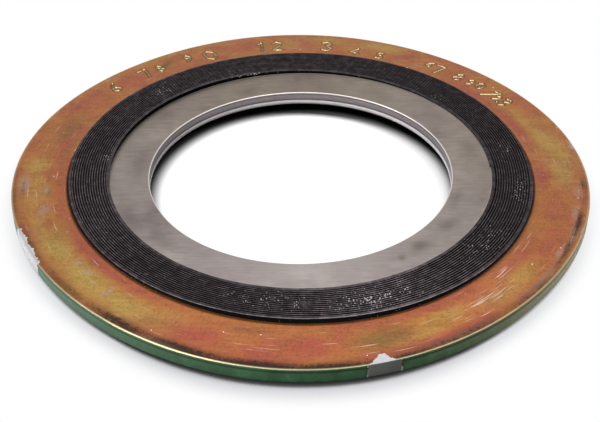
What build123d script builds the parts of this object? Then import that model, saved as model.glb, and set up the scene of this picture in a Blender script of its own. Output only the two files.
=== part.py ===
from build123d import *
import math
import os

# A spiral wound gasket for a raised-face pipe flange: a sealing roll held between two flat rings.
# Z is the gasket's axis, and z = 0 is the lower face of the winding, the thickest piece, on which it lies.
# Lengths are in millimetres.

# Overall sizes, from the hole outwards
bore_diameter = 55.6  # as wide as the pipe
inner_ring_width = 7.15  # to where the winding's faces begin
winding_width = 7.9  # across each of its faces
outer_ring_width = 9.55  # from the winding's faces to the rim, which fits inside the flange bolts
winding_height = 4.5  # before the flanges crush it
outer_ring_thickness = 3.0
inner_ring_thickness = 3.0

# The V that is rolled into every ply, pointing outwards at half its height
vee_depth = 0.9  # from a ply's edges out to the point of the V, if it were sharp
vee_nose = 0.6  # height of the blunt point
nose_play = 0.05  # gap at the blunt point, so that the sloping flanks seat first

# The roll: a metal strip and a softer filler strip wound up together
strip_thickness = 0.2
filler_thickness = 0.5
filler_recess = 0.15  # how far the filler lies back between the edges of the strip
bare_first_plies = 3  # turns of strip without filler, at the hole
bare_last_plies = 4  # and at the outside

# Broken edges
rim_chamfer = 0.3
bore_chamfer = 0.2

# Worked out from the sizes above
mid_height = winding_height / 2
bore_radius = bore_diameter / 2
winding_inner_radius = bore_radius + inner_ring_width
winding_outer_radius = winding_inner_radius + winding_width
rim_radius = winding_outer_radius + outer_ring_width
ply_pitch = strip_thickness + filler_thickness
nose_reach = vee_depth * (1 - vee_nose / winding_height)


def flank_reach(height):
    """How far the V's sloping flank stands out from the ply's edge, at this height above or below the middle."""
    return vee_depth * (1 - height / mid_height)


def flank_height(reach):
    """The height above or below the middle at which the flank stands out by this much."""
    return mid_height * (1 - reach / vee_depth)


def turned(upper_half):
    """A ring with a symmetric section, from its upper half as (radius, height above the middle) points."""
    lower_half = [(radius, -height) for radius, height in reversed(upper_half)]
    outline = [(radius, mid_height + height) for radius, height in upper_half + lower_half]
    return revolve(Plane.XZ * make_face(Polyline(*outline, close=True)), Axis.Z)


def outer_ring():
    """The centring ring, with the V-groove in its hole that the winding snaps into."""
    face_height = outer_ring_thickness / 2
    groove_reach = nose_reach + nose_play
    return turned(
        [
            (winding_outer_radius + groove_reach, flank_height(groove_reach)),
            (winding_outer_radius + flank_reach(face_height), face_height),
            (rim_radius - rim_chamfer, face_height),
            (rim_radius, face_height - rim_chamfer),
        ]
    )


def inner_ring():
    """The inner ring, whose V-shaped edge fills the hollow side of the winding's V."""
    face_height = inner_ring_thickness / 2
    edge_reach = nose_reach - nose_play
    return turned(
        [
            (bore_radius, face_height - bore_chamfer),
            (bore_radius + bore_chamfer, face_height),
            (winding_inner_radius + flank_reach(face_height), face_height),
            (winding_inner_radius + edge_reach, flank_height(edge_reach)),
        ]
    )


def winding_blank():
    """The outside form of the roll, with flat faces: hollow V in its hole, standing V at its edge."""
    return turned(
        [
            (winding_inner_radius + nose_reach, vee_nose / 2),
            (winding_inner_radius, mid_height),
            (winding_outer_radius, mid_height),
            (winding_outer_radius + nose_reach, vee_nose / 2),
        ]
    )


def half_turns(first_radius, turns):
    """All the half turns of the roll at y > 0, as one block with ridged faces, wider than the roll.

    Each ridge is an edge of the strip, and the valley between two ridges is the filler.
    """
    hole_side = winding_inner_radius - ply_pitch
    rim_side = winding_outer_radius + vee_depth + ply_pitch
    ridges = [(first_radius + turn * ply_pitch, 0) for turn in range(turns + 1)]
    valleys = [(radius + ply_pitch / 2, filler_recess) for radius, _ in ridges[:-1]]
    surface = [(hole_side, 0), *sorted(ridges + valleys), (rim_side, 0)]
    lower_face = surface
    upper_face = [(radius, winding_height - depth) for radius, depth in reversed(surface)]
    section = make_face(Polyline(*lower_face, *upper_face, close=True))
    return revolve(Plane.XZ * section, Axis.Z, -180)


def winding():
    """The roll of V-shaped plies as one solid, with its spiral showing on both faces.

    The spiral is made of half circles about two centres half a pitch apart, so it grows by a pitch each turn.
    """
    first_filled = winding_inner_radius + bare_first_plies * strip_thickness
    last_filled = winding_outer_radius - bare_last_plies * strip_thickness
    turns = math.floor((last_filled - first_filled) / ply_pitch) - 1
    step = ply_pitch / 2
    back_half = half_turns(first_filled, turns)
    front_half = Pos(step, 0, 0) * Rot(0, 0, 180) * half_turns(first_filled + step, turns)
    return winding_blank() & (back_half + front_half)


os.makedirs("parts", exist_ok=True)
export_step(outer_ring(), "parts/outer_ring.step")
export_step(winding(), "parts/winding.step")
export_step(inner_ring(), "parts/inner_ring.step")
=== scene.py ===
import math
import bpy
import numpy as np
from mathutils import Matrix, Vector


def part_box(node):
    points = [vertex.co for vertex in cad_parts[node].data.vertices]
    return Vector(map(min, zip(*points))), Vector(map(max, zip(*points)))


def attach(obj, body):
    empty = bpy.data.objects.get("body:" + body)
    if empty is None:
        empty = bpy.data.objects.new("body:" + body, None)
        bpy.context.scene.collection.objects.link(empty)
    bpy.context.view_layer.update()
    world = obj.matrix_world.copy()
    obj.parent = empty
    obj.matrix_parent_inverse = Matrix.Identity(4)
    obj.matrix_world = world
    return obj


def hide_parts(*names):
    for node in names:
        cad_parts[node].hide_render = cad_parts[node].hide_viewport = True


# A spiral wound gasket for a pipe flange, lying on a white table. Its axis is Z, and the table is z = 0.
# Lengths are in metres: a size that is given in millimetres is written as its number times MM.
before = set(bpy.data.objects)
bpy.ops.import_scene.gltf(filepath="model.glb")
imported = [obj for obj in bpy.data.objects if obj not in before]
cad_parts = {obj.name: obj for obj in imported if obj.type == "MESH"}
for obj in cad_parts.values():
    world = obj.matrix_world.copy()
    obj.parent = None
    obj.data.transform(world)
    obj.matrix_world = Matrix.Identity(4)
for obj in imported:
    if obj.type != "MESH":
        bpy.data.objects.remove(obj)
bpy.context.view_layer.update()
MM = 0.001

# ---------------------------------------------------------------------------------------------------------
# The room: a white table under soft boxes. The main one hangs high up, a little behind the gasket, one stands
# low on the left, one fills in from the front, and a narrow one just above the table lights the rim's left
# side. The table has a soft box of its own, behind the gasket, so that the open card stays white.

CAMERA_PLACE = (0.77 * MM, -191.06 * MM, 135.37 * MM)
CAMERA_TILT = math.radians(36.4)  # below the horizon
CAMERA_TURN = math.radians(0.315)
CAMERA_LEAN = math.radians(-0.09)
CAMERA_LENS = 75.3  # focal length in millimetres
SENSOR_WIDTH = 36  # in millimetres
LAMP_DISTANCE = 0.60
TABLE_HALF_WIDTH = 3.0

scene = bpy.context.scene
scene.view_settings.view_transform = "Standard"

camera = bpy.data.objects.new("camera", bpy.data.cameras.new("camera"))
camera.data.lens = CAMERA_LENS
camera.data.sensor_width = SENSOR_WIDTH
camera.data.clip_start = 10 * MM
camera.location = CAMERA_PLACE
camera.rotation_euler = (math.pi / 2 - CAMERA_TILT, CAMERA_LEAN, CAMERA_TURN)
scene.collection.objects.link(camera)
scene.camera = camera


def linear(hex_colour):
    """A colour written as sRGB hex, as the linear red, green, blue and alpha that shaders take."""
    parts = [int(hex_colour[i : i + 2], 16) / 255 for i in (1, 3, 5)]
    return (*[p / 12.92 if p <= 0.04045 else ((p + 0.055) / 1.055) ** 2.4 for p in parts], 1.0)


def add_node(tree, kind, inputs=None, output=0, stops=None, **settings):
    """Adds one shader node and gives back one of its outputs. inputs are its sockets, each set to a value or
    linked to another node's output, stops are a colour ramp's places and colours, and settings are the
    node's other settings."""
    made = tree.nodes.new("ShaderNode" + kind)
    for name, value in settings.items():
        setattr(made, name, value)
    for key, value in (inputs or {}).items():
        if isinstance(value, bpy.types.NodeSocket):
            tree.links.new(value, made.inputs[key])
        else:
            made.inputs[key].default_value = value
    if stops:
        ramp = made.color_ramp.elements
        while len(ramp) < len(stops):
            ramp.new(0.5)
        for element, (place, colour) in zip(ramp, stops):
            element.position = place
            element.color = linear(colour)
    return made.outputs[output] if len(made.outputs) else made


def new_material(name):
    """An empty material with nodes, and its node tree."""
    material = bpy.data.materials.new(name)
    material.use_nodes = True
    material.node_tree.nodes.clear()
    return material, material.node_tree


gasket_pieces = bpy.data.collections.new("gasket_pieces")
table_only = bpy.data.collections.new("table_only")


def soft_box(name, lights, strength, size, azimuth, elevation):
    """An area lamp of a given width and height, aimed at the gasket, that lights one collection. strength is
    how bright it makes a white card that faces it, so the lamp's power is strength * pi^2 * distance^2. It
    stands at distance * (cos(lift) cos(turn), cos(lift) sin(turn), sin(lift))."""
    lamp = bpy.data.lights.new(name, "AREA")
    lamp.shape = "RECTANGLE"
    lamp.size, lamp.size_y = size
    lamp.energy = strength * math.pi**2 * LAMP_DISTANCE**2
    holder = bpy.data.objects.new(name, lamp)
    turn, lift = math.radians(azimuth), math.radians(elevation)
    holder.location = (
        LAMP_DISTANCE * math.cos(lift) * math.cos(turn),
        LAMP_DISTANCE * math.cos(lift) * math.sin(turn),
        LAMP_DISTANCE * math.sin(lift),
    )
    holder.rotation_euler = (math.pi / 2 - lift, 0, turn + math.pi / 2)
    holder.light_linking.receiver_collection = lights
    scene.collection.objects.link(holder)


soft_box("main_light", gasket_pieces, strength=0.50, size=(0.30, 0.30), azimuth=80, elevation=74)
soft_box("left_light", gasket_pieces, strength=0.28, size=(0.35, 0.35), azimuth=195, elevation=28)
soft_box("front_light", gasket_pieces, strength=0.18, size=(0.35, 0.35), azimuth=282, elevation=35)
soft_box("rim_light", gasket_pieces, strength=0.45, size=(0.30, 0.08), azimuth=205, elevation=6)
soft_box("table_light", table_only, strength=2.05, size=(1.00, 0.20), azimuth=80, elevation=53)

# The camera and every reflection see a white backdrop, which lights the gasket itself only faintly.
world = bpy.data.worlds.new("pale_room")
world.use_nodes = True
world.node_tree.nodes.clear()
seen_directly = add_node(world.node_tree, "LightPath", output="Is Camera Ray")
seen_in_gloss = add_node(world.node_tree, "LightPath", output="Is Glossy Ray")
seen_through = add_node(world.node_tree, "LightPath", output="Is Transmission Ray")
seen = add_node(world.node_tree, "Math", {0: seen_directly, 1: seen_in_gloss}, operation="MAXIMUM")
seen = add_node(world.node_tree, "Math", {0: seen, 1: seen_through}, operation="MAXIMUM")
room_light = add_node(world.node_tree, "Background", {"Color": linear("#FFFFFF"), "Strength": 0.03})
backdrop = add_node(world.node_tree, "Background", {"Color": linear("#FFFFFF"), "Strength": 1.0})
room = add_node(world.node_tree, "MixShader", {0: seen, 1: room_light, 2: backdrop})
add_node(world.node_tree, "OutputWorld", {"Surface": room})
scene.world = world

table_mesh = bpy.data.meshes.new("table")
signs = [(-1, -1), (1, -1), (1, 1), (-1, 1)]
table_corners = [(x * TABLE_HALF_WIDTH, y * TABLE_HALF_WIDTH, 0) for x, y in signs]
table_mesh.from_pydata(table_corners, [], [(0, 1, 2, 3)])
table = bpy.data.objects.new("table", table_mesh)
scene.collection.objects.link(table)
table_only.objects.link(table)

# White card, with a shadow painted into its colour: dark under the gasket and close to its bore, where
# little light reaches. Beyond the rim the camera sees plain white, with a painted shade where the gasket
# closes off the sky.
SHADE_CENTRE = (0.9 * MM, -1.4 * MM, 0)
SHADE_START, SHADE_END = 25.8 * MM, 29.2 * MM  # from that centre, outwards
RIM_START, RIM_END = 51.4 * MM, 52.6 * MM
UNDER_THE_RINGS = 40.0 * MM  # a radius that the gasket covers
SKY_REACH = 5.5 * MM
card, tree = new_material("white_card")
place = add_node(tree, "TexCoord", output="Object")
from_axis = add_node(tree, "VectorMath", {0: place}, output="Value", operation="LENGTH")
off_centre = add_node(tree, "VectorMath", {0: place, 1: SHADE_CENTRE}, operation="SUBTRACT")
off_centre = add_node(tree, "VectorMath", {0: off_centre}, output="Value", operation="LENGTH")
card_with_painted_shadow = add_node(
    tree,
    "MapRange",
    {"Value": off_centre, "From Min": SHADE_START, "From Max": SHADE_END, "To Min": 1.0, "To Max": 0.02},
    interpolation_type="SMOOTHSTEP",
)
outside = add_node(tree, "MapRange", {"Value": from_axis, "From Min": RIM_START, "From Max": RIM_END})
card_with_painted_shadow = add_node(tree, "Math", {0: card_with_painted_shadow, 1: outside}, operation="MAXIMUM")
matte = add_node(tree, "BsdfDiffuse", {"Color": card_with_painted_shadow})
open_sky = add_node(tree, "AmbientOcclusion", {"Distance": SKY_REACH}, output="AO", samples=16)
# Painted shade, from closed off to open sky: a broad shade right at the front, a thin one elsewhere, and both
# fainter at the sides and the back.
BROAD_STOPS = [
    (0.10, "#0E0E0E"), (0.335, "#454545"), (0.376, "#5C5C5C"), (0.445, "#898989"), (0.505, "#B8B8B9"),
    (0.55, "#D0D0D3"), (0.62, "#DBDBDF"), (0.70, "#E0E0E3"), (0.93, "#FFFFFF"),
]
THIN_STOPS = [
    (0.10, "#0E0E0E"), (0.30, "#333333"), (0.345, "#878787"), (0.39, "#BEBEC0"), (0.435, "#D1D2D4"),
    (0.54, "#D9DADC"), (0.63, "#E3E4E6"), (0.85, "#FFFFFF"),
]
broad_shade = add_node(tree, "ValToRGB", {"Fac": open_sky}, stops=BROAD_STOPS)
thin_shade = add_node(tree, "ValToRGB", {"Fac": open_sky}, stops=THIN_STOPS)
towards_back = add_node(tree, "SeparateXYZ", {0: place}, output="Y")
towards_back = add_node(tree, "Math", {0: towards_back, 1: from_axis}, operation="DIVIDE")
thin_share = add_node(tree, "MapRange", {"Value": towards_back, "From Min": -0.98, "From Max": -0.82})
sky_shade = add_node(
    tree, "Mix", {0: thin_share, 6: broad_shade, 7: thin_shade}, output=2, data_type="RGBA"
)
side_share = add_node(
    tree, "MapRange", {"Value": towards_back, "From Min": -0.85, "From Max": -0.2, "To Max": 0.55}
)
white = linear("#FFFFFF")
sky_shade = add_node(tree, "Mix", {0: side_share, 6: sky_shade, 7: white}, output=2, data_type="RGBA")
glow = add_node(tree, "Emission", {"Color": sky_shade, "Strength": 1.0})
seen_directly = add_node(tree, "LightPath", output="Is Camera Ray")
beyond_rim = add_node(tree, "Math", {0: from_axis, 1: UNDER_THE_RINGS}, operation="GREATER_THAN")
glow_share = add_node(tree, "Math", {0: beyond_rim, 1: seen_directly}, operation="MULTIPLY")
surface = add_node(tree, "MixShader", {0: glow_share, 1: matte, 2: glow})
add_node(tree, "OutputMaterial", {"Surface": surface})
table_mesh.materials.append(card)

# ---------------------------------------------------------------------------------------------------------
# The inner ring: a flat washer of stainless steel, punched from plate. Its outer edge is turned to a vee that
# sits in the hollow of the winding, with play, so that on this gasket it lies off centre and tilted. It is a
# little dished and oval.


def node_box(name):
    """The lowest and highest corners of a CAD node, to the nearest micrometre, since model.glb holds them in
    single precision."""
    return [[round(coordinate, 6) for coordinate in corner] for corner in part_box(name)]


ring_lowest, ring_highest = node_box("inner_ring")
RING_BOTTOM, RING_TOP = ring_lowest[2], ring_highest[2]  # the outer ring's are the same
RING_THICKNESS = RING_TOP - RING_BOTTOM
MID_HEIGHT = (RING_TOP + RING_BOTTOM) / 2
BORE_RADIUS = 27.75 * MM
INNER_RING_EDGE = 35.25 * MM
INNER_RING_NOSE = 35.73 * MM  # where the vee's flanks would meet
BORE_FILLET = 0.12 * MM
LOWER_BORE_FILLET = 0.55 * MM  # on the side that the punch drew in
INNER_EDGE_FILLET = 0.12 * MM
INNER_NOSE_FILLET = 0.4 * MM
INNER_STEPS = 720  # round the ring
INNER_ROWS = 12  # across its upper face and up its wall
INNER_SHIFT = 0.28 * MM  # off centre, towards +Y
INNER_DISH = 0.22 * MM  # rise from the bore to the winding
INNER_TILT = 0.40 / 35  # rise over length towards +X
INNER_OVAL = 0.004  # longer by this share along X and shorter along Y


def rounded_section(corners, arc_steps=4):
    """A closed outline of a ring's section in radius and height, taken clockwise. Each corner is (radius,
    height, fillet): an arc of that radius, as points at even angles round its centre, which is on the
    corner's bisector. It touches both sides, except at a corner sharper than a right one, where it turns
    inwards and leaves a small notch in the edge. A point one fillet before and after each arc keeps flat
    faces flat."""
    outline = []
    for i, (radius, height, fillet) in enumerate(corners):
        corner = np.array([radius, height])
        before = np.array(corners[i - 1][:2]) - corner
        after = np.array(corners[(i + 1) % len(corners)][:2]) - corner
        before /= np.linalg.norm(before)
        after /= np.linalg.norm(after)
        half = 0.5 * math.acos(np.clip(before @ after, -1, 1))
        reach = fillet / math.tan(half)
        centre = corner + (before + after) / np.linalg.norm(before + after) * fillet / math.sin(half)
        start, end = corner + before * reach - centre, corner + after * reach - centre
        sweep = math.copysign(math.pi - 2 * half, start[0] * end[1] - start[1] * end[0])
        if before @ after > 0.01:
            sweep = -sweep
        turns = np.linspace(0, sweep, arc_steps + 1)[:, None]
        across = np.array([-start[1], start[0]])
        outline.append(corner + before * (reach + fillet))
        outline.extend(centre + np.cos(turns) * start + np.sin(turns) * across)
        outline.append(corner + after * (reach + fillet))
    return np.array(outline)


def revolved(section, angles):
    """Points of a section carried round the axis: radius * cos and sin of each angle, and the height."""
    radius, height = section[None, :, 0], section[None, :, 1]
    angles = angles[:, None]
    return np.stack(np.broadcast_arrays(radius * np.cos(angles), radius * np.sin(angles), height), axis=-1)


def skin(name, points, material, closed=True):
    """A piece whose mesh is a grid of points[along, around]. The section closes on itself, and the path does
    too if closed is true; otherwise a cap closes each end. Faces point out where the section is clockwise and
    the path anticlockwise."""
    along, around = points.shape[:2]
    i = np.arange(along if closed else along - 1)[:, None]
    j = np.arange(around)[None, :]
    near, far = i * around, (i + 1) % along * around
    here, there = j, (j + 1) % around
    faces = np.stack([near + here, near + there, far + there, far + here], axis=-1).reshape(-1, 4).tolist()
    if not closed:
        faces.append(list(range(around))[::-1])
        faces.append(list(range((along - 1) * around, along * around)))
    mesh = bpy.data.meshes.new(name)
    mesh.from_pydata(points.reshape(-1, 3), [], faces)
    mesh.polygons.foreach_set("use_smooth", np.ones(len(mesh.polygons), dtype=bool))
    mesh.materials.append(material)
    piece = bpy.data.objects.new(name, mesh)
    scene.collection.objects.link(piece)
    gasket_pieces.objects.link(piece)
    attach(piece, "root")
    return piece


def whole_turn(steps):
    """Angles of steps even steps once round, without the repeated last one."""
    return np.arange(steps) * 2 * np.pi / steps


# Stainless steel, ground one way and handled: a satin grey with faint stains. Painted light on it: warmer and
# darker on one side, cooler and lighter towards the front left, broad pale patches, and edges painted bright
# as highlights. Its grinding lines are drawn coarser than real ones, so they show.
satin_stainless, tree = new_material("satin_stainless")
place = add_node(tree, "TexCoord", output="Object")
stains = add_node(tree, "TexNoise", {"Vector": place, "Scale": 1 / (9 * MM), "Detail": 5, "Roughness": 0.6})
SHADED_SIDE_STOPS = [(0.30, "#62574D"), (0.45, "#74685F"), (0.56, "#776D61"), (0.72, "#83776D")]
LIT_SIDE_STOPS = [(0.30, "#726867"), (0.45, "#837977"), (0.56, "#877F7C"), (0.72, "#968D8A")]
shaded_side = add_node(tree, "ValToRGB", {"Fac": stains}, stops=SHADED_SIDE_STOPS)
lit_side = add_node(tree, "ValToRGB", {"Fac": stains}, stops=LIT_SIDE_STOPS)
painted_light_side = add_node(tree, "Attribute", output="Fac", attribute_name="painted_light_side")
tone = add_node(tree, "Mix", {0: painted_light_side, 6: shaded_side, 7: lit_side}, output=2, data_type="RGBA")
brushed = add_node(tree, "Mapping", {"Vector": place, "Scale": (0.12, 1.0, 1.0)})
grain = add_node(
    tree, "TexNoise", {"Vector": brushed, "Scale": 1 / (0.42 * MM), "Detail": 3, "Roughness": 0.65}
)
grain_shade = add_node(
    tree, "MapRange", {"Value": grain, "From Min": 0.3, "From Max": 0.7, "To Min": 0.86, "To Max": 1.14}
)
tone = add_node(tree, "VectorMath", {0: tone, 1: grain_shade}, operation="MULTIPLY")
# Mixed over it: faint stains, broad pale patches of painted light, and edges painted bright as highlights.
for name, colour in (("stained", "#51473F"), ("pale", "#B8AEAB"), ("edge_highlight", "#D8CFCA")):
    amount = add_node(tree, "Attribute", output="Fac", attribute_name=name)
    tone = add_node(tree, "Mix", {0: amount, 6: tone, 7: linear(colour)}, output=2, data_type="RGBA")
# Down the bore's wall: a bright edge, painted as a highlight, a grey face between two darker lines, a bright
# band, and the rounded lower edge, painted dark as shade.
WALL_STOPS_WITH_PAINTED_LIGHT = [
    (0.03, "#C6BDB9"), (0.09, "#504A4B"), (0.20, "#817A7C"), (0.44, "#7A7375"), (0.55, "#4E494A"),
    (0.62, "#E6DFDF"), (0.82, "#F2ECEC"), (0.92, "#2A2728"),
]
down_wall = add_node(tree, "Attribute", output="Fac", attribute_name="down_wall")
wall_with_painted_light = add_node(tree, "ValToRGB", {"Fac": down_wall}, stops=WALL_STOPS_WITH_PAINTED_LIGHT)
wall_with_painted_light = add_node(tree, "VectorMath", {0: wall_with_painted_light, 1: grain_shade}, operation="MULTIPLY")
in_bore = add_node(tree, "Attribute", output="Fac", attribute_name="in_bore")
tone = add_node(tree, "Mix", {0: in_bore, 6: tone, 7: wall_with_painted_light}, output=2, data_type="RGBA")
scored = add_node(tree, "Bump", {"Height": grain, "Strength": 0.12, "Distance": 0.04 * MM}, output="Normal")
steel = add_node(
    tree, "BsdfPrincipled", {"Base Color": tone, "Metallic": 0.9, "Roughness": 0.40, "Normal": scored}
)
add_node(tree, "OutputMaterial", {"Surface": steel})

inner_corners = [
    (BORE_RADIUS, RING_TOP, BORE_FILLET),
    (INNER_RING_EDGE, RING_TOP, INNER_EDGE_FILLET),
    (INNER_RING_NOSE, MID_HEIGHT, INNER_NOSE_FILLET),
    (INNER_RING_EDGE, RING_BOTTOM, INNER_EDGE_FILLET),
    (BORE_RADIUS, RING_BOTTOM, LOWER_BORE_FILLET),
]
corners_outline = rounded_section(inner_corners)
face_radii = np.linspace(BORE_RADIUS + 0.4 * MM, INNER_RING_EDGE - 0.4 * MM, INNER_ROWS)
face_rows = np.stack([face_radii, np.full(INNER_ROWS, RING_TOP)], axis=1)
wall_heights = np.linspace(RING_BOTTOM + 1.2 * MM, RING_TOP - 0.3 * MM, INNER_ROWS)
wall_rows = np.stack([np.full(INNER_ROWS, BORE_RADIUS), wall_heights], axis=1)
bore_corner, other_corners = np.split(corners_outline, [len(corners_outline) // len(inner_corners)])
inner_section = np.concatenate([bore_corner, face_rows, other_corners, wall_rows])


def settled(points):
    """The inner ring's points in place: shifted towards +Y, tilted by a rise in proportion to x, dished by a
    rise in proportion to the distance from the bore, and slightly oval."""
    x, y, z = points[..., 0], points[..., 1], points[..., 2]
    dish = INNER_DISH * (np.hypot(x, y) - BORE_RADIUS) / (INNER_RING_EDGE - BORE_RADIUS)
    oval = 1 + INNER_OVAL * (x**2 - y**2) / (x**2 + y**2)
    return np.stack([x * oval, y * oval + INNER_SHIFT, z + INNER_TILT * x + dish], axis=-1)


inner_points = settled(revolved(inner_section, whole_turn(INNER_STEPS)))
inner_ring = skin("inner_ring_plate", inner_points, satin_stainless)


def short_way(azimuth, centre):
    """How far round an azimuth is from a centre in degrees, the short way, in degrees."""
    return np.degrees((azimuth - math.radians(centre) + np.pi) % (2 * np.pi) - np.pi)


def waves(angle, counts, seed):
    """A smooth uneven wave round the ring: sines of the given counts per turn with seeded sizes and phases,
    scaled to stay within about one."""
    dice = np.random.default_rng(seed)
    total = 0
    for count in counts:
        total = total + dice.uniform(0.4, 1) * np.sin(count * angle + dice.uniform(0, 2 * np.pi))
    return total / math.sqrt(len(counts))


def patch_field(azimuth, radius, patches, wobble=0.0):
    """The strongest of several soft patches at each point: strength * exp(-(turn / half width)^2 - (depth /
    half depth)^2). Each patch is its azimuth in degrees, radius in millimetres, half width in degrees, half
    depth in millimetres and strength. wobble shifts their outlines by about so many degrees, in waves round
    the ring that swing with the radius."""
    shift = wobble * waves(azimuth, (9, 17, 29), 31) * np.sin(radius / (1.1 * MM))
    strongest = np.zeros(azimuth.shape)
    for centre, middle, half_width, half_depth, strength in patches:
        turn = (short_way(azimuth, centre) + shift) / half_width
        depth = (radius - middle * MM) / (half_depth * MM)
        strongest = np.maximum(strongest, strength * np.exp(-(turn**2) - depth**2))
    return strongest


def add_field(piece, name, values):
    """A named number for each point of a piece, for its material to read."""
    field = piece.data.attributes.new(name, "FLOAT", "POINT")
    field.data.foreach_set("value", np.ascontiguousarray(values, dtype=np.float32).ravel())


azimuth, radius = np.broadcast_arrays(whole_turn(INNER_STEPS)[:, None], inner_section[:, 0])
height = np.broadcast_to(inner_section[:, 1], radius.shape)
# Painted highlights: along the bore's upper edge, and along the outer edge in three places.
corner_distance = np.hypot(radius - BORE_RADIUS, height - RING_TOP)
bore_edge_highlight = np.clip(1.5 - corner_distance / (0.13 * MM), 0, 1)
EDGE_LIGHT_PATCHES = [(95, 35.15, 32, 0.16, 0.7), (335, 35.15, 14, 0.16, 0.7), (182, 35.15, 12, 0.16, 0.35)]
edge_light = np.where(height > MID_HEIGHT, patch_field(azimuth, radius, EDGE_LIGHT_PATCHES), 0)
on_wall = (radius < BORE_RADIUS + 0.10 * MM) | (height < MID_HEIGHT)
PAINTED_LIGHT_SIDE = math.radians(255)
add_field(inner_ring, "edge_highlight", np.maximum(bore_edge_highlight, edge_light))
add_field(inner_ring, "in_bore", np.where(on_wall, 1 - bore_edge_highlight, 0))
add_field(inner_ring, "down_wall", (RING_TOP - height) / RING_THICKNESS)
# Painted light: the satin grey turns cooler and lighter towards the front left.
add_field(inner_ring, "painted_light_side", 0.5 + 0.5 * np.cos(azimuth - PAINTED_LIGHT_SIDE))
STAINED_PATCHES = [
    (311.5, 30.7, 4, 1.4, 0.85), (326, 30.9, 4, 1.4, 0.6), (303.5, 31.5, 1.6, 0.7, 0.8),
    (11, 32.4, 5, 1.4, 0.4), (340, 29.4, 5, 1.0, 0.35), (175, 30, 8, 1.5, 0.35), (206, 33.6, 9, 1.5, 0.4),
    (222, 32, 6, 1.2, 0.35), (110, 30, 4, 1.6, 0.4), (88, 33, 6, 1.2, 0.3), (60, 31, 7, 1.5, 0.35),
    (35, 32.5, 5, 1.5, 0.35), (145, 33, 6, 1.4, 0.35), (268, 33, 5, 1.2, 0.25),
]
add_field(inner_ring, "stained", patch_field(azimuth, radius, STAINED_PATCHES, 1.5))
# Broad pale patches at the front and at the right towards the back: painted light.
PAINTED_LIGHT_PATCHES = [(272, 31.5, 32, 12, 0.26), (38, 31.5, 22, 12, 0.12)]
add_field(inner_ring, "pale", patch_field(azimuth, radius, PAINTED_LIGHT_PATCHES))
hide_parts("inner_ring")

# ---------------------------------------------------------------------------------------------------------
# The winding: a strip of stainless steel, rolled to a vee, and a ribbon of graphite, wound together like a
# clock spring. The strip's edges stand proud as fine ridges, and its first and last plies are bare of filler.

WINDING_HEIGHT = node_box("winding")[1][2]
WINDING_BORE = 34.95 * MM
WINDING_RIM = 42.6 * MM
WINDING_SHIFT = 0.53 * MM  # off the rim's centre, towards +Y
STRIP_THICKNESS = 0.2 * MM
BARE_FIRST = 3
BARE_LAST = 2
FILLED_TURNS = 14
FILLER_RECESS = 0.14 * MM  # how far the filler stops short of the strip's edges
STRIP_CROWN = 0.04 * MM  # how far the middle of the strip's edge stands above its sides
FILLER_CROWN = 0.03 * MM
EDGE_WAVER = 0.02 * MM  # how far the edges rise and fall
VEE_SLOPE = 0.4
VEE_SOFTNESS = 0.3 * MM
STEPS_PER_TURN = 240
EDGE_POINTS = 5  # across each edge of a ribbon, and up each of its faces

filled_width = WINDING_RIM - WINDING_BORE - (BARE_FIRST + BARE_LAST + 1) * STRIP_THICKNESS
PLY_PITCH = filled_width / FILLED_TURNS


def roll_waver(angle):
    """How far the roll's outside is from a true circle: waves of one, two and three to the turn."""
    waver = 0.11 * np.cos(angle) - 0.08 * np.cos(2 * angle) - 0.13 * np.sin(2 * angle)
    return (waver - 0.11 * np.cos(3 * angle)) * MM


def vee_bulge(height):
    """How far out a ply stands at a height, from where its edges are: a vee with a soft nose at mid height,
    the slope times how much further the edge is from the nose, where each distance is the root of the squared
    height from the middle plus the squared softness."""
    half_height = WINDING_HEIGHT / 2
    from_nose = np.hypot(height - half_height, VEE_SOFTNESS)
    return VEE_SLOPE * (math.hypot(half_height, VEE_SOFTNESS) - from_nose)


def coil_radius(turn):
    """The strip's inner face after so many turns: it grows by a strip for each bare turn and by a pitch for
    each filled one."""
    first = np.minimum(turn, BARE_FIRST)
    filled = np.clip(turn - BARE_FIRST, 0, FILLED_TURNS)
    last = np.maximum(turn - BARE_FIRST - FILLED_TURNS, 0)
    return WINDING_BORE + (first + last) * STRIP_THICKNESS + filled * PLY_PITCH


def ribbon(turns, depth_start, depth_end, top_level, crown, seed):
    """Points of a ribbon wound on the coil. Its section goes over the crowned top edge, down the outer face,
    back under and up the inner one. Each point's radius is the coil's plus its depth into the ply plus the
    vee's bulge at its height, and the edges rise and fall a little along the coil, always below top_level."""
    one, none = np.ones(EDGE_POINTS), np.zeros(EDGE_POINTS)
    down_face = np.linspace(1, -1, EDGE_POINTS)
    edge_depth = np.array([0.03, 0.2, 0.5, 0.8, 0.97])
    edge_rise = np.array([0.0, 0.75, 1.0, 0.75, 0.0])
    depth = np.concatenate([edge_depth, one, edge_depth[::-1], none])
    side = np.concatenate([one, down_face, -one, down_face[::-1]])
    rise = np.concatenate([edge_rise, none, -edge_rise, none]) * crown
    angle = (turns * 2 * np.pi)[:, None]
    uneven = EDGE_WAVER * (waves(angle, (3, 7, 11.3, 19.7, 31.1), seed) - 1.7)
    half = top_level - WINDING_HEIGHT / 2 - crown + uneven
    height = WINDING_HEIGHT / 2 + side * half + rise
    into_ply = depth_start + depth * (depth_end - depth_start)
    radius = coil_radius(turns)[:, None] + into_ply + vee_bulge(height)
    radius = radius + roll_waver(angle) * (radius - WINDING_BORE) / (WINDING_RIM - WINDING_BORE)
    x, y = radius * np.cos(angle), radius * np.sin(angle) + WINDING_SHIFT
    return np.stack(np.broadcast_arrays(x, y, height), axis=-1)


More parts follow.
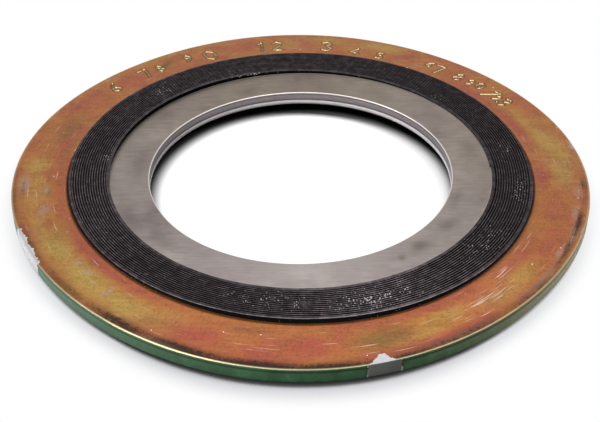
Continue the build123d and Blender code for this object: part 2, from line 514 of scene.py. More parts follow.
def with_dust(tree, place, tone):
    """A colour with small white specks over it, as thick as the dust field says. The specks are in cells of
    0.48 mm, coarser than real dust, so that they show."""
    grains = add_node(tree, "TexVoronoi", {"Vector": place, "Scale": 1 / (0.48 * MM)}, output="Distance")
    spots = add_node(tree, "TexNoise", {"Vector": place, "Scale": 1 / (0.9 * MM), "Detail": 1})
    dust = add_node(tree, "Attribute", output="Fac", attribute_name="dust")
    amount = add_node(tree, "Math", {0: spots, 1: dust}, operation="MULTIPLY")
    amount = add_node(tree, "Math", {0: amount, 1: grains}, operation="SUBTRACT")
    share = add_node(tree, "MapRange", {"Value": amount, "From Min": 0.0, "From Max": 0.12})
    return add_node(tree, "Mix", {0: share, 6: tone, 7: linear("#C4BEC2")}, output=2, data_type="RGBA")


# Stainless strip, blackened by the graphite that has rubbed off on it: nearly black, with its crests rubbed
# grey in places and brighter towards the front as painted light, a painted highlight on the last ply's edge
# at the front, and a few specks of white dust.
smeared_strip, tree = new_material("smeared_stainless_strip")
place = add_node(tree, "TexCoord", output="Object")
smear = add_node(
    tree, "TexNoise", {"Vector": place, "Scale": 1 / (1.4 * MM), "Detail": 5, "Roughness": 0.7}
)
CREST_STOPS = [(0.32, "#4E4448"), (0.50, "#73686C"), (0.70, "#A79B9F")]
bright = add_node(tree, "ValToRGB", {"Fac": smear}, stops=CREST_STOPS)
crest = add_node(tree, "Attribute", output="Fac", attribute_name="crest")
tone = add_node(tree, "Mix", {0: crest, 6: linear("#050404"), 7: bright}, output=2, data_type="RGBA")
# Past 1.2 the crest share turns pale: a painted highlight on the last ply's edge at the front.
last_edge_highlight = add_node(tree, "MapRange", {"Value": crest, "From Min": 1.2, "From Max": 2.6})
tone = add_node(tree, "Mix", {0: last_edge_highlight, 6: tone, 7: linear("#D2CCD0")}, output=2, data_type="RGBA")
tone = with_dust(tree, place, tone)
strip = add_node(
    tree,
    "BsdfPrincipled",
    {"Base Color": tone, "Metallic": 0.3, "Roughness": 0.5, "Specular IOR Level": 0.05},
)
add_node(tree, "OutputMaterial", {"Surface": strip})

# Flexible graphite foil: soft, nearly black, with a dull leaden shine.
graphite_foil, tree = new_material("graphite_foil")
place = add_node(tree, "TexCoord", output="Object")
flakes = add_node(
    tree, "TexNoise", {"Vector": place, "Scale": 1 / (0.67 * MM), "Detail": 3, "Roughness": 0.6}
)
FOIL_STOPS = [(0.35, "#0A0607"), (0.55, "#160E10"), (0.75, "#2A1E21")]
tone = add_node(tree, "ValToRGB", {"Fac": flakes}, stops=FOIL_STOPS)
tone = with_dust(tree, place, tone)
rough_face = add_node(
    tree, "Bump", {"Height": flakes, "Strength": 0.4, "Distance": 0.05 * MM}, output="Normal"
)
foil = add_node(
    tree,
    "BsdfPrincipled",
    {"Base Color": tone, "Roughness": 0.6, "Specular IOR Level": 0.05, "Normal": rough_face},
)
add_node(tree, "OutputMaterial", {"Surface": foil})

total_turns = BARE_FIRST + FILLED_TURNS + BARE_LAST
strip_turns = np.linspace(0, total_turns, total_turns * STEPS_PER_TURN + 1)
strip_points = ribbon(strip_turns, 0, STRIP_THICKNESS, WINDING_HEIGHT, STRIP_CROWN, 11)
winding_strip = skin("winding_strip", strip_points, smeared_strip, closed=False)
filler_turns = np.linspace(BARE_FIRST, BARE_FIRST + FILLED_TURNS, FILLED_TURNS * STEPS_PER_TURN + 1)
filler_level = WINDING_HEIGHT - FILLER_RECESS
filler_points = ribbon(filler_turns, STRIP_THICKNESS, PLY_PITCH, filler_level, FILLER_CROWN, 12)
graphite_filler = skin("graphite_filler", filler_points, graphite_foil, closed=False)

# How far the strip's crests are grey: rubbed, and brighter towards the left and the front as painted light. A
# change is its azimuth and width in degrees and its amount.
CREST_SHARE = 0.42
CREST_CHANGES = [(25, 40, -0.08), (135, 35, 0.10), (203, 22, 0.20), (292, 22, 0.50)]
CREST_ACROSS = np.array([0.0, 0.7, 1.0, 0.7, 0.0])
strip_angle = strip_turns * 2 * np.pi
crest_share = np.full(strip_angle.shape, CREST_SHARE)
for centre, width, change in CREST_CHANGES:
    crest_share += change * np.exp(-((short_way(strip_angle, centre) / width) ** 2))
last_ply = strip_turns > total_turns - 1  # its edge at the front gets a painted highlight
crest_share += np.where(last_ply, np.clip(-np.sin(strip_angle) * 3 - 1.6, 0, 1), 0)
crest = np.zeros(strip_points.shape[:2])
crest[:, :EDGE_POINTS] = crest_share[:, None] * CREST_ACROSS
add_field(winding_strip, "crest", crest)
THIN_DUST = 0.13
DUST_PATCHES = [
    (289, 39, 13, 2.8, 0.55), (262, 38, 12, 3, 0.35), (325, 38.5, 12, 3.5, 0.35), (350, 40, 9, 2, 0.40),
    (10, 39, 6, 2, 0.35), (205, 38, 15, 4, 0.17), (235, 40, 8, 2, 0.15), (175, 36, 4, 1, 0.55),
    (70, 35.2, 6, 0.5, 0.60), (95, 35.2, 12, 0.4, 0.55), (107, 35.3, 7, 0.5, 0.8),
    (136, 39, 5, 2.2, 0.45), (42, 37, 4, 1.5, 0.35),
]
for piece, points in ((winding_strip, strip_points), (graphite_filler, filler_points)):
    x, y = points[..., 0], points[..., 1]
    add_field(piece, "dust", THIN_DUST + patch_field(np.arctan2(y, x), np.hypot(x, y), DUST_PATCHES))
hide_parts("winding")
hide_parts("winding")

# ---------------------------------------------------------------------------------------------------------
# The outer ring: a flat ring of carbon steel, punched from plate, plated with zinc and passivated yellow. Its
# groove holds the winding's nose, and it centres the gasket inside the flange bolts. Its rim is painted green
# for the strip's steel, with four grey stripes for the filler, and digits are stamped by hand on its face.

OUTER_RING_BORE = 42.6 * MM
OUTER_RING_GROOVE = 43.4 * MM
RIM_RADIUS = node_box("outer_ring")[1][0]
OUTER_BORE_FILLET = 0.10 * MM
GROOVE_FILLET = 0.3 * MM
RIM_FILLET = 0.22 * MM
LOWER_RIM_FILLET = 0.9 * MM  # on the side that the punch drew in
# Where the edge of the hole stands up: azimuth and width in degrees, height in millimetres.
RAISED_BORE = [(222, 30, 0.37), (328, 26, 0.44)]
RAISED_LEAN = 0.7  # how far a raised edge leans in towards the winding, as a share of its height
STEADY_RADIUS = 45.0 * MM  # the hole's waver dies out up to here, and the rim's starts here
STAMP_DEPTH = 0.20 * MM
STAMP_HALF_WIDTH = 0.27 * MM
BURR_HEIGHT = 0.035 * MM
BURR_DISTANCE, BURR_WIDTH = 1.25 * STAMP_HALF_WIDTH, 0.35 * STAMP_HALF_WIDTH  # from the stroke's middle line
FACE_END = 51.5 * MM  # just inside the rim's fillet
# The mesh is finer where the digits are stamped: from one azimuth to another, and from one radius to another.
STAMPED_FROM, STAMPED_TO = math.radians(25), math.radians(147)
FINE_STEP, COARSE_STEP = math.radians(0.17), math.radians(0.8)
STAMPED_INNER, STAMPED_OUTER, ROW_STEP = 44.4 * MM, 50.75 * MM, 0.15 * MM

outer_corners = [
    (OUTER_RING_BORE, RING_TOP, OUTER_BORE_FILLET),
    (RIM_RADIUS, RING_TOP, RIM_FILLET),
    (RIM_RADIUS, RING_BOTTOM, LOWER_RIM_FILLET),
    (OUTER_RING_BORE, RING_BOTTOM, OUTER_BORE_FILLET),
    (OUTER_RING_GROOVE, MID_HEIGHT, GROOVE_FILLET),
]
corners_outline = rounded_section(outer_corners, arc_steps=5)
stamped_radii = np.arange(STAMPED_INNER, STAMPED_OUTER, ROW_STEP)
face_radii = np.concatenate([[43.4 * MM, 43.9 * MM], stamped_radii, [51.1 * MM]])
face_rows = np.stack([face_radii, np.full_like(face_radii, RING_TOP)], axis=1)
side_top = RING_TOP - 2 * RIM_FILLET - 0.1 * MM
side_bottom = RING_BOTTOM + 2 * LOWER_RIM_FILLET + 0.1 * MM
side_heights = np.linspace(side_top, side_bottom, 5)
side_rows = np.stack([np.full_like(side_heights, RIM_RADIUS), side_heights], axis=1)
corner_points = len(corners_outline) // len(outer_corners)
bore_corner, rim_corner, other_corners = np.split(corners_outline, [corner_points, 2 * corner_points])
outer_section = np.concatenate([bore_corner, face_rows, rim_corner, side_rows, other_corners])
fine_angles = np.arange(STAMPED_FROM, STAMPED_TO, FINE_STEP)
rest_of_turn = STAMPED_FROM + 2 * np.pi - STAMPED_TO
coarse_angles = STAMPED_TO + np.linspace(0, rest_of_turn, int(rest_of_turn / COARSE_STEP), endpoint=False)
outer_angles = np.concatenate([fine_angles, coarse_angles])


def out_of_round(angle):
    """How far the punched rim is from a true circle: waves of one, two, three and four to the turn."""
    waver = 0.38 * np.cos(4 * angle) + 0.16 * np.sin(3 * angle) - 0.13 * np.sin(2 * angle)
    return (waver - 0.17 * np.sin(angle) - 0.03) * MM


# The hole follows the winding's waver and shift, and the rim has its own; each swells the ring outwards by a
# share that falls from one to nothing at the steady radius.
outer_points = revolved(outer_section, outer_angles)
azimuth, radius = np.broadcast_arrays(outer_angles[:, None], outer_section[:, 0])
towards_rim = np.clip((radius - STEADY_RADIUS) / (RIM_RADIUS - STEADY_RADIUS), 0, 1)
towards_bore = np.clip((STEADY_RADIUS - radius) / (STEADY_RADIUS - OUTER_RING_BORE), 0, 1)
from_rim_to_bore = np.clip((RIM_RADIUS - radius) / (RIM_RADIUS - OUTER_RING_BORE), 0, 1)
bore_lift = np.zeros(azimuth.shape)
for centre, width, lift in RAISED_BORE:
    bore_lift += lift * MM * np.exp(-((short_way(azimuth, centre) / width) ** 2))
bore_swell = roll_waver(azimuth) + WINDING_SHIFT * np.sin(azimuth) - RAISED_LEAN * bore_lift
swell = out_of_round(azimuth) * towards_rim + bore_swell * towards_bore
outer_points[..., 0] += swell * np.cos(azimuth)
outer_points[..., 1] += swell * np.sin(azimuth)

# Each digit is a few strokes between points of a box 0.6 wide and 1 high.
DIGIT_WIDTH = 0.6
DIGIT_STROKES = [
    [(0.3, 1.0), (0.05, 0.8), (0.02, 0.3), (0.3, 0.0), (0.56, 0.25), (0.58, 0.75), (0.3, 1.0)],
    [(0.12, 0.78), (0.36, 1.0), (0.36, 0.0)],
    [(0.04, 0.8), (0.25, 1.0), (0.52, 0.88), (0.5, 0.6), (0.05, 0.03), (0.58, 0.0)],
    [(0.05, 0.9), (0.35, 1.0), (0.52, 0.78), (0.28, 0.55), (0.55, 0.3), (0.35, 0.0), (0.02, 0.1)],
    [(0.44, 0.0), (0.44, 1.0), (0.02, 0.32), (0.6, 0.32)],
    [(0.52, 1.0), (0.12, 1.0), (0.08, 0.58), (0.38, 0.62), (0.56, 0.32), (0.36, 0.0), (0.03, 0.08)],
    [(0.46, 1.0), (0.12, 0.6), (0.04, 0.2), (0.3, 0.0), (0.56, 0.22), (0.34, 0.5), (0.1, 0.35)],
    [(0.03, 1.0), (0.57, 1.0), (0.22, 0.0)],
    [(0.3, 0.54), (0.07, 0.78), (0.3, 1.0), (0.52, 0.78), (0.3, 0.54), (0.03, 0.25), (0.3, 0.0), (0.57, 0.25),
     (0.3, 0.54)],
    [(0.5, 0.62), (0.25, 0.5), (0.05, 0.75), (0.27, 1.0), (0.52, 0.8), (0.5, 0.4), (0.2, 0.0)],
]
# The digits only count up, and say nothing. Each stamp's azimuth in degrees, radius in millimetres, lean in
# degrees and height in millimetres.
FIRST_DIGIT = 6
STAMPS = [
    (142.0, 48.2, 8, 3.2), (132.4, 47.9, -4, 3.4), (128.2, 47.8, 4, 2.4), (120.0, 48.2, 10, 2.7),
    (114.2, 47.3, -8, 3.8), (100.6, 47.6, 5, 3.5), (96.3, 47.5, 3, 3.5), (83.4, 47.5, -5, 3.7),
    (75.8, 46.5, 8, 2.8), (69.0, 46.3, 0, 2.2), (55.7, 48.2, 12, 2.0), (52.6, 47.2, -4, 3.5),
    (46.6, 47.5, 4, 2.9), (42.9, 47.6, 0, 2.3), (40.1, 48.0, -10, 2.4), (36.0, 47.5, 35, 4.3),
    (33.4, 47.4, 0, 1.9), (31.0, 47.6, 6, 3.2),
]


def distance_to_stroke(across, up, start, end):
    """The distance of each point from a straight stroke: the part of the way along it that is nearest, held
    between its ends, and how far the point is from there."""
    run_across, run_up = end[0] - start[0], end[1] - start[1]
    part = ((across - start[0]) * run_across + (up - start[1]) * run_up) / (run_across**2 + run_up**2)
    part = np.clip(part, 0, 1)
    return np.hypot(across - start[0] - part * run_across, up - start[1] - part * run_up)


stroke_distance = np.full(azimuth.shape, 1.0)
for count, (stamp_azimuth, stamp_radius, lean, stamp_height) in enumerate(STAMPS, FIRST_DIGIT):
    turn, tilt, size = azimuth - math.radians(stamp_azimuth), math.radians(lean), stamp_height * MM
    east, north = -radius * np.sin(turn), radius * np.cos(turn) - stamp_radius * MM
    across = (east * math.cos(tilt) - north * math.sin(tilt)) / size + DIGIT_WIDTH / 2
    up = (east * math.sin(tilt) + north * math.cos(tilt)) / size + 0.5
    strokes = DIGIT_STROKES[count % len(DIGIT_STROKES)]
    for start, end in zip(strokes, strokes[1:]):
        near = distance_to_stroke(across, up, start, end) * size
        stroke_distance = np.minimum(stroke_distance, near)

# A stroke is a groove whose depth falls off evenly from its middle line, with a low burr along each side.
on_face = (outer_points[..., 2] > RING_TOP - 0.001 * MM) & (radius < FACE_END)
cut = np.clip(1 - stroke_distance / STAMP_HALF_WIDTH, 0, 1)
burr = np.exp(-(((stroke_distance - BURR_DISTANCE) / BURR_WIDTH) ** 2))
outer_points[..., 2] += np.where(on_face, BURR_HEIGHT * burr - STAMP_DEPTH * cut, 0)
outer_points[..., 2] += bore_lift * from_rim_to_bore
fall_round = np.gradient(cut, axis=0) / (FINE_STEP * radius)
fall_out = np.gradient(cut, axis=1) / ROW_STEP
fall_front = (-fall_round * np.cos(azimuth) - fall_out * np.sin(azimuth)) * STAMP_HALF_WIDTH

# Where each tint of the plating lies: azimuth in degrees, radius in millimetres, half width in degrees, half
# depth in millimetres and strength.
GOLD_PATCHES = [
    (6, 49.2, 7, 2.4, 0.7), (12, 48.2, 7, 2.8, 0.8), (23, 46.8, 6, 1.3, 0.5), (70, 50.2, 8, 1.8, 0.7),
    (85, 50.4, 6, 1.8, 0.6), (93, 48.2, 5, 2.4, 0.4), (126, 51.6, 25, 0.8, 0.4),
    (178.5, 48.4, 3, 2.0, 0.8), (190, 48.4, 12, 2.6, 0.45), (201, 48.8, 5, 1.8, 0.6),
    (210, 47.8, 8, 2.7, 1.0), (222, 47.6, 10, 3.0, 1.0), (234, 47.8, 9, 2.8, 1.0),
    (243, 47.4, 6, 2.6, 0.8), (294, 48.6, 5, 1.3, 0.6), (301, 46.6, 6, 1.5, 0.6),
    (314, 48.8, 9, 2.0, 0.5), (320, 47.6, 5, 2.6, 0.6), (0, 48.2, 6, 2.2, 0.8),
]
RED_PATCHES = [
    (20, 44.4, 10, 1.3, 0.9), (40, 44.6, 12, 1.4, 0.5), (50.5, 47.0, 2.5, 2.0, 0.5),
    (62, 49.2, 2, 1.6, 0.7), (88.5, 48, 2, 2.0, 0.5), (105, 48.0, 6, 2.6, 0.6), (118, 45.2, 9, 1.6, 0.4),
    (136, 46.4, 9, 2.4, 0.5), (148, 49.4, 5, 1.8, 0.6), (168, 45.4, 5, 1.5, 0.8),
    (192, 44.0, 16, 1.0, 0.6), (222, 43.8, 24, 0.9, 0.9), (250, 47.8, 9, 3.0, 0.95),
    (263, 49.5, 6, 2.4, 0.9), (271, 47.4, 9, 2.8, 0.85), (278, 46.0, 4, 2.4, 0.8),
    (300, 44.0, 30, 1.1, 0.7), (334, 48.2, 8, 2.2, 0.6), (346, 46.4, 7, 2.2, 0.6),
    (357, 44.4, 6, 1.2, 0.8), (262, 45.0, 12, 1.4, 0.5), (282, 50.4, 8, 1.4, 0.6),
    (300, 50.6, 10, 1.3, 0.8), (322, 45.0, 13, 1.5, 0.7), (320, 50.6, 8, 1.2, 0.4),
]
OLIVE_PATCHES = [
    (3, 48.6, 3, 1.2, 0.3), (126, 48.2, 2.2, 1.8, 0.8), (163, 46.8, 6, 2.2, 0.7),
    (171, 44.2, 5, 0.8, 0.6), (205, 46.0, 3, 2.0, 0.4), (241, 48.2, 6, 1.6, 0.3),
    (260, 44.9, 5, 0.7, 0.6), (286, 47.7, 5.5, 2.4, 1.0), (298, 47.6, 3, 1.2, 0.3),
    (341, 47.4, 3, 1.2, 0.3),
]
HAZE_PATCHES = [
    (9.5, 52.0, 1.8, 0.7, 1.2), (4.5, 45.9, 2.5, 1.0, 0.6), (185, 50.2, 5, 1.4, 0.8),
    (188, 46.2, 2.5, 1.0, 0.7), (197, 47.2, 2, 2.0, 0.7), (217.5, 46.2, 1.6, 0.9, 0.8),
    (222, 46.2, 1.4, 0.9, 0.7), (228.5, 47.0, 1.6, 2.2, 0.7), (237, 50.2, 2, 0.8, 0.5),
    (310, 47.2, 5.5, 1.1, 0.35), (300, 51.4, 12, 0.9, 0.6), (322, 51.2, 10, 1.0, 0.7),
    (338, 51.0, 8, 1.0, 0.7), (332, 50.4, 4, 0.9, 0.7), (344, 50.2, 5, 0.8, 0.7),
    (353, 50.4, 4, 1.2, 0.6), (64, 44.8, 3, 0.8, 0.5),
]
SCRATCHED_PATCHES = [
    (311, 47.2, 6, 1.4, 1.0), (318, 45.0, 4, 0.8, 0.7), (330, 44.6, 4, 0.7, 0.6),
    (305, 49.5, 4, 0.8, 0.5), (226, 47.5, 6, 1.6, 0.3), (262, 48.4, 2.5, 1.2, 0.4),
    (64, 44.8, 4, 0.5, 0.8), (352, 51.0, 8, 1.0, 0.35), (338, 51.2, 8, 0.9, 0.35),
    (238, 50.2, 5, 0.8, 0.3), (190, 48.0, 10, 3.0, 0.25),
]
# A dark band along the inside of the rim, and a painted shade on the hole's edge where the winding stands
# over it.
DARKENING_AND_SHADE_PATCHES = [
    (190, 52.0, 10, 0.5, 0.8), (207, 51.6, 9, 1.0, 0.9), (221, 51.5, 9, 1.1, 0.95),
    (236, 51.4, 8, 1.3, 1.5), (249, 51.7, 9, 1.2, 1.8), (263, 51.9, 10, 1.1, 1.9),
    (275, 52.0, 9, 1.0, 1.8), (289, 52.1, 7, 0.9, 1.4), (300, 51.7, 14, 1.1, 1.1),
    (318, 51.7, 12, 0.9, 1.0), (332, 51.3, 6, 0.5, 1.2), (335, 50.9, 3, 0.4, 1.3),
    (341, 51.0, 4, 0.45, 1.5), (348, 51.4, 4, 0.4, 1.0), (322, 43.1, 24, 0.5, 0.95),
    (355.5, 51.5, 2.2, 0.6, 1.5), (187, 50.4, 4, 0.5, 0.6), (189, 45.8, 2.5, 0.6, 0.5),
    (126, 48.4, 1.5, 1.4, 0.5),
]


def rim_run(centre):
    """How far round each point is from an azimuth in degrees, as a length at the rim."""
    return np.radians(short_way(azimuth, centre)) * RIM_RADIUS


# The stripes: azimuth in degrees and half width in millimetres. The field is how far inside one a point is.
# The first one's paint has run a little way over the upper edge, and the second one's further, as a tongue
# that narrows evenly to nothing.
STRIPES = [(206.3, 5.7), (284.5, 2.8), (25.0, 3.4), (112.0, 3.6)]
NOT_STRIPED = -1.0
FIRST_SPILL, FIRST_SPILL_WAVER = 0.85 * MM, 0.12 * MM
TONGUE_AZIMUTH, TONGUE_LENGTH = 284.6, 2.2 * MM
TONGUE_LEFT, TONGUE_RIGHT = 2.84 * MM, 1.65 * MM
height = outer_points[..., 2]
upper = height > MID_HEIGHT
inward = np.where(upper, RIM_RADIUS - radius, 0.0)
from_rim = (RIM_RADIUS - radius) * np.where(upper, 1.0, 0.3)  # the paint goes on under the drawn-in edge
on_side = (from_rim < 0.27 * MM) & (height < RING_TOP - 0.02 * MM)
stripe = np.full(azimuth.shape, NOT_STRIPED)
for centre, half_width in STRIPES:
    stripe = np.maximum(stripe, np.where(on_side, half_width * MM - np.abs(rim_run(centre)), NOT_STRIPED))
first_centre, first_half_width = STRIPES[0]
first_edge = FIRST_SPILL - inward + FIRST_SPILL_WAVER * waves(azimuth, (61, 97, 143), 5)
first_spill = np.minimum(first_half_width * MM - np.abs(rim_run(first_centre)), first_edge)
along, left_over = rim_run(TONGUE_AZIMUTH), 1 - inward / TONGUE_LENGTH
tongue = np.minimum(TONGUE_LEFT * left_over + along, TONGUE_RIGHT * left_over - along)
stripe = np.maximum(stripe, np.where(upper, np.maximum(tongue, first_spill), NOT_STRIPED))

# One finish for the ring: the plating, with the paint over it at the rim.
# Yellow passivated zinc: a thin glassy film on metal, gold where it is thin and rose or olive where it is
# thicker, with a scuffed haze in places. Punching and handling leave nicks and short scratches. Its grains
# and scratches are drawn coarser than real ones, so they show.
painted_plate, tree = new_material("passivated_zinc_and_rim_paint")
place = add_node(tree, "TexCoord", output="Object")
drift = add_node(
    tree, "TexNoise", {"Vector": place, "Scale": 1 / (6.7 * MM), "Detail": 5, "Roughness": 0.6}
)
FILM_STOPS = [(0.30, "#8F4C33"), (0.44, "#9A5831"), (0.55, "#9E632F"), (0.70, "#9F692C")]
film = add_node(tree, "ValToRGB", {"Fac": drift}, stops=FILM_STOPS)
mottle = add_node(
    tree, "TexNoise", {"Vector": place, "Scale": 1 / (2.4 * MM), "Detail": 5, "Roughness": 0.72}
)
speck = add_node(
    tree, "TexNoise", {"Vector": place, "Scale": 1 / (0.45 * MM), "Detail": 3, "Roughness": 0.75}
)
for name, colour in (("gold", "#A28542"), ("red", "#944636"), ("olive", "#78562B")):
    amount = add_node(tree, "Attribute", output="Fac", attribute_name=name)
    uneven = add_node(tree, "Math", {0: mottle, 1: 0.5}, operation="SUBTRACT")
    uneven = add_node(tree, "Math", {0: uneven, 1: 0.7, 2: amount}, operation="MULTIPLY_ADD")
    share = add_node(
        tree, "MapRange", {"Value": uneven, "From Min": 0.02, "From Max": 0.95, "To Max": 0.95}
    )
    film = add_node(tree, "Mix", {0: share, 6: film, 7: linear(colour)}, output=2, data_type="RGBA")
rolled = add_node(tree, "Mapping", {"Vector": place, "Scale": (0.13, 1.0, 1.0)})
rolled = add_node(
    tree, "TexNoise", {"Vector": rolled, "Scale": 1 / (0.67 * MM), "Detail": 3, "Roughness": 0.6}
)
for pattern, low, high, darkest, lightest in (
    (speck, 0.25, 0.75, 0.60, 1.33),
    (mottle, 0.25, 0.75, 0.78, 1.20),
    (rolled, 0.30, 0.70, 0.90, 1.10),
):
    limits = {"From Min": low, "From Max": high, "To Min": darkest, "To Max": lightest}
    pattern_shade = add_node(tree, "MapRange", {"Value": pattern, **limits})
    film = add_node(tree, "VectorMath", {0: film, 1: pattern_shade}, operation="MULTIPLY")
# The haze is whole in the middle of its patches and breaks up into specks towards their edges.
haze = add_node(tree, "Attribute", output="Fac", attribute_name="haze")
haze_break = add_node(tree, "Math", {0: speck, 1: 0.5}, operation="SUBTRACT")
haze_break = add_node(tree, "Math", {0: haze_break, 1: 1.8, 2: haze}, operation="MULTIPLY_ADD")
haze_break = add_node(tree, "Math", {0: haze_break, 1: haze}, operation="MULTIPLY")
haze_share = add_node(
    tree, "MapRange", {"Value": haze_break, "From Min": 0.08, "From Max": 1.0, "To Max": 0.9}
)
film = add_node(tree, "Mix", {0: haze_share, 6: film, 7: linear("#968B86")}, output=2, data_type="RGBA")
# Scratches run round the ring: noise on the radius and on a length of arc that is taken as only 2.4 mm to the
# radian, which draws them out along the arc.
east = add_node(tree, "SeparateXYZ", {0: place}, output="X")
north = add_node(tree, "SeparateXYZ", {0: place}, output="Y")
arc = add_node(tree, "Math", {0: north, 1: east}, operation="ARCTAN2")
arc = add_node(tree, "Math", {0: arc, 1: 2.4 * MM}, operation="MULTIPLY")
from_axis = add_node(tree, "VectorMath", {0: place}, output="Value", operation="LENGTH")
unrolled = add_node(tree, "CombineXYZ", {"X": arc, "Y": from_axis})
streak = add_node(
    tree, "TexNoise", {"Vector": unrolled, "Scale": 1 / (0.26 * MM), "Detail": 1, "Roughness": 0.5}
)
scratched = add_node(tree, "Attribute", output="Fac", attribute_name="scratched")
scratched = add_node(tree, "Math", {0: scratched, 1: 0.22, 2: streak}, operation="MULTIPLY_ADD")
scratched = add_node(
    tree, "MapRange", {"Value": scratched, "From Min": 0.68, "From Max": 0.82, "To Max": 0.7}
)
film = add_node(tree, "Mix", {0: scratched, 6: film, 7: linear("#C8B3A2")}, output=2, data_type="RGBA")
# The dark band inside the rim, and the painted shade on the hole's edge beside the winding, are ragged with
# both the fine and the coarse pattern.
darkening_and_shade = add_node(tree, "Attribute", output="Fac", attribute_name="darkening_and_shade")
darkening_edge = add_node(tree, "Math", {0: speck, 1: 0.5}, operation="SUBTRACT")
darkening_edge = add_node(tree, "Math", {0: darkening_edge, 1: 2.4, 2: darkening_and_shade}, operation="MULTIPLY_ADD")
darkening_edge = add_node(tree, "Math", {0: mottle, 1: 0.6, 2: darkening_edge}, operation="MULTIPLY_ADD")
darkening_share = add_node(
    tree, "MapRange", {"Value": darkening_edge, "From Min": 0.45, "From Max": 1.6, "To Max": 0.95}
)
film = add_node(tree, "Mix", {0: darkening_share, 6: film, 7: linear("#1A0A04")}, output=2, data_type="RGBA")
# Nicks: a small bright dot in some of the cells of a 5.6 mm pattern, each of a size of its own.
nick_cells = {"Vector": place, "Scale": 1 / (5.6 * MM)}
nick = add_node(tree, "TexVoronoi", nick_cells, output="Distance", voronoi_dimensions="2D")
nick_pick = add_node(tree, "TexVoronoi", nick_cells, output="Color", voronoi_dimensions="2D")
nick_pick = add_node(tree, "SeparateColor", {0: nick_pick}, output="Red")
nick_size = add_node(
    tree, "MapRange", {"Value": nick_pick, "From Min": 0.55, "From Max": 1.0, "To Max": 0.032}
)
nick_share = add_node(tree, "Math", {0: nick_size, 1: nick}, operation="SUBTRACT")
nick_share = add_node(
    tree, "MapRange", {"Value": nick_share, "From Min": 0.0, "From Max": 0.010, "To Max": 0.8}
)
film = add_node(tree, "Mix", {0: nick_share, 6: film, 7: linear("#F0DCC0")}, output=2, data_type="RGBA")
# Painted highlights on the rim's edges, and on the stamped strokes painted shade and a painted glint.
for name, colour in (("edge_highlight", "#EDE6B8"), ("stamp_shade", "#3B2C10"), ("stamp_glint", "#FFF2B8")):
    amount = add_node(tree, "Attribute", output="Fac", attribute_name=name)
    film = add_node(tree, "Mix", {0: amount, 6: film, 7: linear(colour)}, output=2, data_type="RGBA")
plate_relief = add_node(
    tree, "Bump", {"Height": speck, "Strength": 0.25, "Distance": 0.06 * MM}, output="Normal"
)
plating = add_node(
    tree, "BsdfPrincipled", {"Base Color": film, "Metallic": 0.75, "Roughness": 0.42, "Normal": plate_relief}
)

# Green spirit paint brushed round the rim, thin and ragged at its edges, and pale grey for the stripes.
paint_blotch = add_node(
    tree, "TexNoise", {"Vector": place, "Scale": 1 / (2.4 * MM), "Detail": 5, "Roughness": 0.65}
)
GREEN_STOPS = [(0.30, "#294A30"), (0.50, "#355B3C"), (0.66, "#3F6849"), (0.80, "#5F7867")]
green = add_node(tree, "ValToRGB", {"Fac": paint_blotch}, stops=GREEN_STOPS)
# The green is painted lighter at the left, as painted light, and is dusty at the right.
for name, colour in (("painted_light_at_left", "#687C6B"), ("dusty", "#A39C7C")):
    amount = add_node(tree, "Attribute", output="Fac", attribute_name=name)
    green = add_node(tree, "Mix", {0: amount, 6: green, 7: linear(colour)}, output=2, data_type="RGBA")
stripe_field = add_node(tree, "Attribute", output="Fac", attribute_name="stripe")
ragged = add_node(tree, "Math", {0: paint_blotch, 1: 0.5}, operation="SUBTRACT")
ragged_stripe = add_node(tree, "Math", {0: ragged, 1: 2.5 * MM, 2: stripe_field}, operation="MULTIPLY_ADD")
striped = add_node(
    tree, "MapRange", {"Value": ragged_stripe, "From Min": -0.03 * MM, "From Max": 0.03 * MM}
)
pale = add_node(tree, "ValToRGB", {"Fac": paint_blotch}, stops=[(0.3, "#E6E4E8"), (0.6, "#FAF8FA")])
paint_colour = add_node(tree, "Mix", {0: striped, 6: green, 7: pale}, output=2, data_type="RGBA")
shade = add_node(tree, "Attribute", output="Fac", attribute_name="paint_shade")
paint_colour = add_node(
    tree, "Mix", {0: shade, 6: paint_colour, 7: linear("#1B2412")}, output=2, data_type="RGBA"
)
paint = add_node(
    tree, "BsdfPrincipled", {"Base Color": paint_colour, "Roughness": 0.45, "Specular IOR Level": 0.12}
)
paint_field = add_node(tree, "Attribute", output="Fac", attribute_name="paint")
ragged_paint = add_node(tree, "Math", {0: ragged, 1: 1.6, 2: paint_field}, operation="MULTIPLY_ADD")
painted = add_node(tree, "MapRange", {"Value": ragged_paint, "From Min": 0.45, "From Max": 0.55})
painted = add_node(tree, "Math", {0: painted, 1: striped}, operation="MAXIMUM")
finish = add_node(tree, "MixShader", {0: painted, 1: plating, 2: paint})
add_node(tree, "OutputMaterial", {"Surface": finish})

outer_ring = skin("outer_ring_plate", outer_points, painted_plate)
PATCH_WOBBLE = 1.6
for name, patches in (
    ("gold", GOLD_PATCHES),
    ("red", RED_PATCHES),
    ("olive", OLIVE_PATCHES),
    ("haze", HAZE_PATCHES),
    ("scratched", SCRATCHED_PATCHES),
):
    add_field(outer_ring, name, patch_field(azimuth, radius, patches, PATCH_WOBBLE))
darkening_field = patch_field(azimuth, radius, DARKENING_AND_SHADE_PATCHES, PATCH_WOBBLE)
add_field(outer_ring, "darkening_and_shade", np.where(upper, darkening_field, 0))

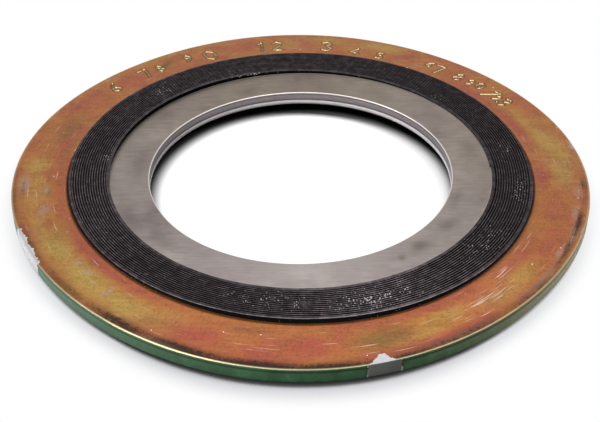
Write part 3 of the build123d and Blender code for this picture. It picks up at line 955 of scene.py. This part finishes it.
# The rim's two edges are painted bright as highlights: the upper one more, and broader and brighter in two
# places.
RIM_LINE_PATCHES = [(245, 52.4, 15, 6, 0.6), (310, 52.4, 25, 6, 0.1)]
more_highlight = patch_field(azimuth, radius, RIM_LINE_PATCHES)
from_upper_edge = np.hypot(radius - RIM_RADIUS, height - RING_TOP)
from_lower_edge = np.hypot(radius - RIM_RADIUS, height - RING_BOTTOM)
from_edge = np.minimum(from_upper_edge, from_lower_edge)
highlight_width = np.clip(1.3 + more_highlight - from_edge / (0.24 * MM), 0, 1)
highlight_strength = np.where(upper, np.clip(0.42 + more_highlight, 0, 1), 0.25)
add_field(outer_ring, "edge_highlight", highlight_width * highlight_strength)
add_field(outer_ring, "paint", np.clip(1.5 - from_rim / (0.08 * MM), 0, 1))
add_field(outer_ring, "stripe", stripe)


def near_azimuth(centre, width):
    """A share that is one at an azimuth and falls off as exp(-(turn / width)^2), both in degrees."""
    return np.exp(-((short_way(azimuth, centre) / width) ** 2))


# The paint is shaded in a line below the upper edge, along the lower edge and on the stripes, whose grey is
# the
# deepest at the front: painted shade. At the left it is painted lighter, as painted light, and it is dusty at
# the right.
at_front = near_azimuth(292, 38)
upper_line = np.exp(-(((RING_TOP - 0.46 * MM - height) / (0.17 * MM)) ** 2))
lower_line = np.clip(1 - (height - RING_BOTTOM) / (0.55 * MM), 0, 1)
on_stripe = np.clip((stripe + 0.2 * MM) / (0.1 * MM), 0, 1)
paint_shade = np.maximum((0.6 + 0.35 * at_front) * upper_line * (1 - on_stripe), 0.75 * lower_line)
paint_shade += (0.35 + 0.55 * at_front) * on_stripe
spill_shade = 0.28 * np.clip(first_spill / (0.1 * MM), 0, 1)
add_field(outer_ring, "paint_shade", np.where(on_side, np.minimum(paint_shade, 1), spill_shade))
add_field(outer_ring, "painted_light_at_left", near_azimuth(200, 42))
add_field(outer_ring, "dusty", near_azimuth(332, 24))

# A stroke's groove and burr are dark, and its sides that look towards the front glint.
stamp_shade = np.clip(burr * 0.7 + cut * 1.6, 0, 0.92)
stamp_glint = np.clip((cut - 0.35) * 2.2, 0, 1) * np.clip(0.16 + 1.4 * fall_front, 0, 1)
add_field(outer_ring, "stamp_shade", np.where(on_face, stamp_shade, 0))
add_field(outer_ring, "stamp_glint", np.where(on_face, stamp_glint, 0))
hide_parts("outer_ring")
